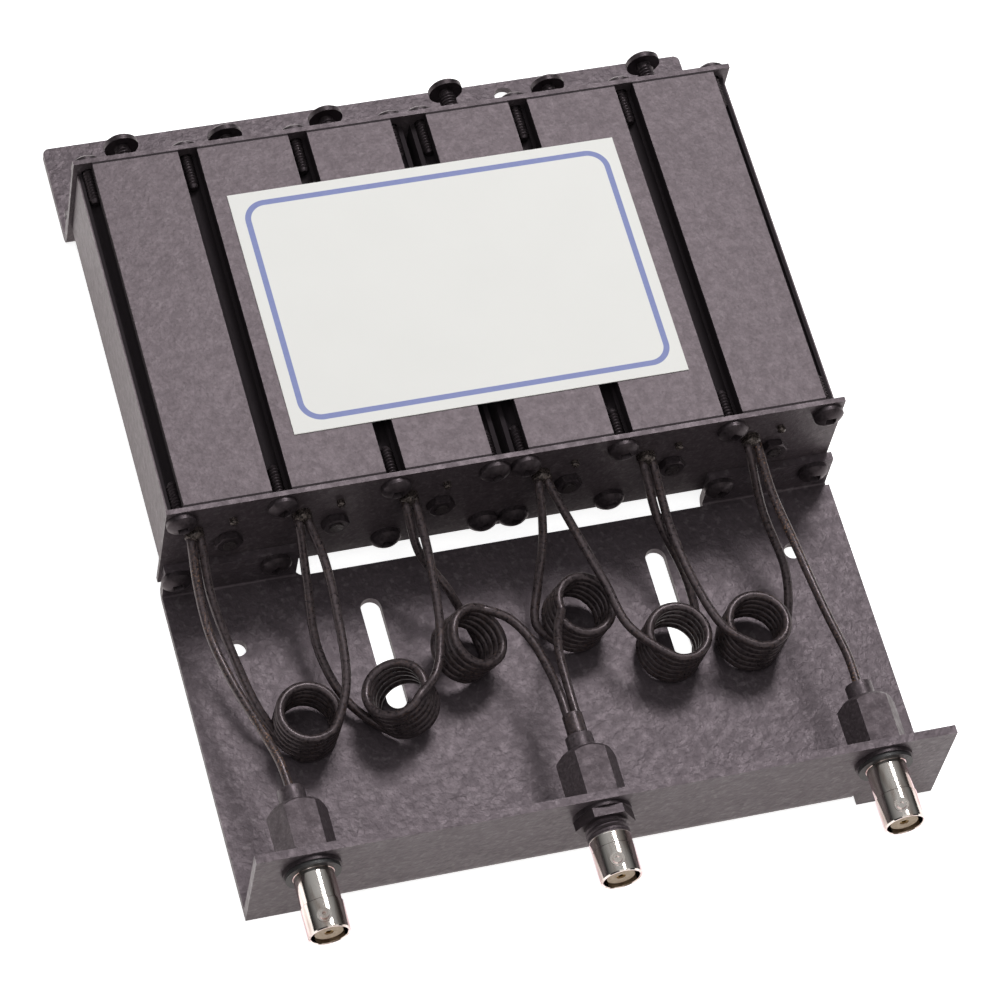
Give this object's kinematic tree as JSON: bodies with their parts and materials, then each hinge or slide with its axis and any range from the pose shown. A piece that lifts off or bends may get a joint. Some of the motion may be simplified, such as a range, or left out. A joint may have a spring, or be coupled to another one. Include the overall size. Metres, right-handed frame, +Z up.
{
  "type": "duplexer",
  "caption": "Radio duplexer: cavity block in two halves with tuning screws, on a folded sheet tray, joined by coiled coaxial cables to bayonet sockets on the tray's flange.",
  "frame": {"origin": "underside of the tray, midway between its two mounting slots", "axes": "+X along the connector flange to the right as seen from in front of the sockets, +Y back from the sockets through the block to the rear bracket, +Z up through the block"},
  "size_m": [0.1624, 0.2233, 0.0366],
  "materials": {
    "tray_paint": "dark grey wrinkle paint, satin",
    "housing_paint": "grey fine wrinkle paint, satin",
    "plate_paint": "dark grey paint, satin",
    "label_film": "white film with a blue border",
    "black_steel": "black oxide, semi-gloss",
    "silver_plate": "silver plated",
    "brass": "bare",
    "ptfe": "waxy white",
    "nickel": "bright nickel plate",
    "resin": "tan dielectric",
    "black_rubber": "matt",
    "cable_jacket": "black jacket, slightly glossy"
  },
  "bodies": {
    "duplexer": {"tray": "tray_paint", "rear_bracket": "tray_paint", "left_housing": "housing_paint", "right_housing": "housing_paint", "left_front_plate": "plate_paint", "right_front_plate": "plate_paint", "left_rear_plate": "plate_paint", "right_rear_plate": "plate_paint", "label": "label_film", "front_top_screws": "black_steel", "front_bottom_screws": "black_steel", "rear_top_screws": "black_steel", "rear_bottom_screws": "black_steel", "left_resonators": "silver_plate", "right_resonators": "silver_plate", "resonator_nuts": "black_steel", "coupling_loops": "brass", "loop_bushes": "ptfe", "tuning_lock_nuts": "black_steel", "connector_1": "nickel", "connector_2": "nickel", "connector_3": "nickel", "connector_dielectrics": "resin", "connector_contacts": "brass", "connector_washers": "black_steel", "connector_seals": "black_rubber", "centre_nut": "black_steel", "cable_ferrules": "black_steel", "pair_sleeve": "cable_jacket", "lead_1": "cable_jacket", "lead_3": "cable_jacket", "tails_1": "cable_jacket", "tails_2": "cable_jacket", "tails_3": "cable_jacket", "tails_4": "cable_jacket", "tails_5": "cable_jacket", "tails_6": "cable_jacket", "coil_1": "cable_jacket", "coil_2": "cable_jacket", "coil_3": "cable_jacket", "coil_4": "cable_jacket", "coil_5": "cable_jacket", "coil_6": "cable_jacket"},
    "sleeve_1": {"tuning_sleeve_1": "ptfe"},
    "screw_1": {"tuning_screw_1": "black_steel"},
    "sleeve_2": {"tuning_sleeve_2": "ptfe"},
    "screw_2": {"tuning_screw_2": "black_steel"},
    "sleeve_3": {"tuning_sleeve_3": "ptfe"},
    "screw_3": {"tuning_screw_3": "black_steel"},
    "sleeve_4": {"tuning_sleeve_4": "ptfe"},
    "screw_4": {"tuning_screw_4": "black_steel"},
    "sleeve_5": {"tuning_sleeve_5": "ptfe"},
    "screw_5": {"tuning_screw_5": "black_steel"},
    "sleeve_6": {"tuning_sleeve_6": "ptfe"},
    "screw_6": {"tuning_screw_6": "black_steel"}
  },
  "joints": [
    {"name": "tuner_1_travel", "type": "slide", "parent": "duplexer", "child": "sleeve_1", "axis": [0, -1, 0], "range_m": [-0.003, 0.0081]},
    {"name": "tuner_1_turn", "type": "hinge", "parent": "sleeve_1", "child": "screw_1", "pos_m": [-0.0664, 0.122, 0.021], "axis": [0, -1, 0], "range_deg": [-1363, 3676]},
    {"name": "tuner_2_travel", "type": "slide", "parent": "duplexer", "child": "sleeve_2", "axis": [0, -1, 0], "range_m": [-0.003, 0.0066]},
    {"name": "tuner_2_turn", "type": "hinge", "parent": "sleeve_2", "child": "screw_2", "pos_m": [-0.0415, 0.122, 0.021], "axis": [0, -1, 0], "range_deg": [-1363, 2995]},
    {"name": "tuner_3_travel", "type": "slide", "parent": "duplexer", "child": "sleeve_3", "axis": [0, -1, 0], "range_m": [-0.003, 0.0076]},
    {"name": "tuner_3_turn", "type": "hinge", "parent": "sleeve_3", "child": "screw_3", "pos_m": [-0.0166, 0.122, 0.021], "axis": [0, -1, 0], "range_deg": [-1363, 3449]},
    {"name": "tuner_4_travel", "type": "slide", "parent": "duplexer", "child": "sleeve_4", "axis": [0, -1, 0], "range_m": [-0.003, 0.0101]},
    {"name": "tuner_4_turn", "type": "hinge", "parent": "sleeve_4", "child": "screw_4", "pos_m": [0.0138, 0.122, 0.021], "axis": [0, -1, 0], "range_deg": [-1363, 4582]},
    {"name": "tuner_5_travel", "type": "slide", "parent": "duplexer", "child": "sleeve_5", "axis": [0, -1, 0], "range_m": [-0.003, 0.0071]},
    {"name": "tuner_5_turn", "type": "hinge", "parent": "sleeve_5", "child": "screw_5", "pos_m": [0.0387, 0.122, 0.021], "axis": [0, -1, 0], "range_deg": [-1363, 3222]},
    {"name": "tuner_6_travel", "type": "slide", "parent": "duplexer", "child": "sleeve_6", "axis": [0, -1, 0], "range_m": [-0.003, 0.0096]},
    {"name": "tuner_6_turn", "type": "hinge", "parent": "sleeve_6", "child": "screw_6", "pos_m": [0.0636, 0.122, 0.021], "axis": [0, -1, 0], "range_deg": [-1363, 4356]}
  ],
  "couplings": [
    {"joint": "tuner_1_turn", "follows": "tuner_1_travel", "rad_per_m": 7913.3},
    {"joint": "tuner_2_turn", "follows": "tuner_2_travel", "rad_per_m": 7913.3},
    {"joint": "tuner_3_turn", "follows": "tuner_3_travel", "rad_per_m": 7913.3},
    {"joint": "tuner_4_turn", "follows": "tuner_4_travel", "rad_per_m": 7913.3},
    {"joint": "tuner_5_turn", "follows": "tuner_5_travel", "rad_per_m": 7913.3},
    {"joint": "tuner_6_turn", "follows": "tuner_6_travel", "rad_per_m": 7913.3}
  ]
}
